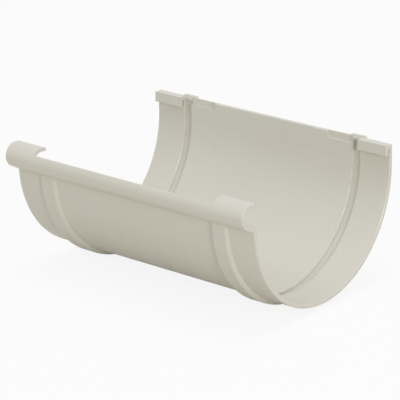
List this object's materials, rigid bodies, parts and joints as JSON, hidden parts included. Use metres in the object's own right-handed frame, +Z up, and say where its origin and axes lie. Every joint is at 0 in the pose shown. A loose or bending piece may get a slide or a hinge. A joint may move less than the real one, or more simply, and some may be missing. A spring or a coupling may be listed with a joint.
{
  "type": "gutter union",
  "caption": "Half-round gutter union with a rolled front bead, end hooks, raised bands and rear clip lips.",
  "frame": {"origin": "on the axis of the half-round, halfway along the union", "axes": "+X along the gutter, -Y the front with the rolled bead, +Y the rear with the clip lips, +Z up"},
  "size_m": [0.179, 0.1443, 0.084],
  "materials": {
    "sand_plastic": "satin"
  },
  "bodies": {
    "root": {"gutter_union": "sand_plastic"}
  },
  "joints": []
}
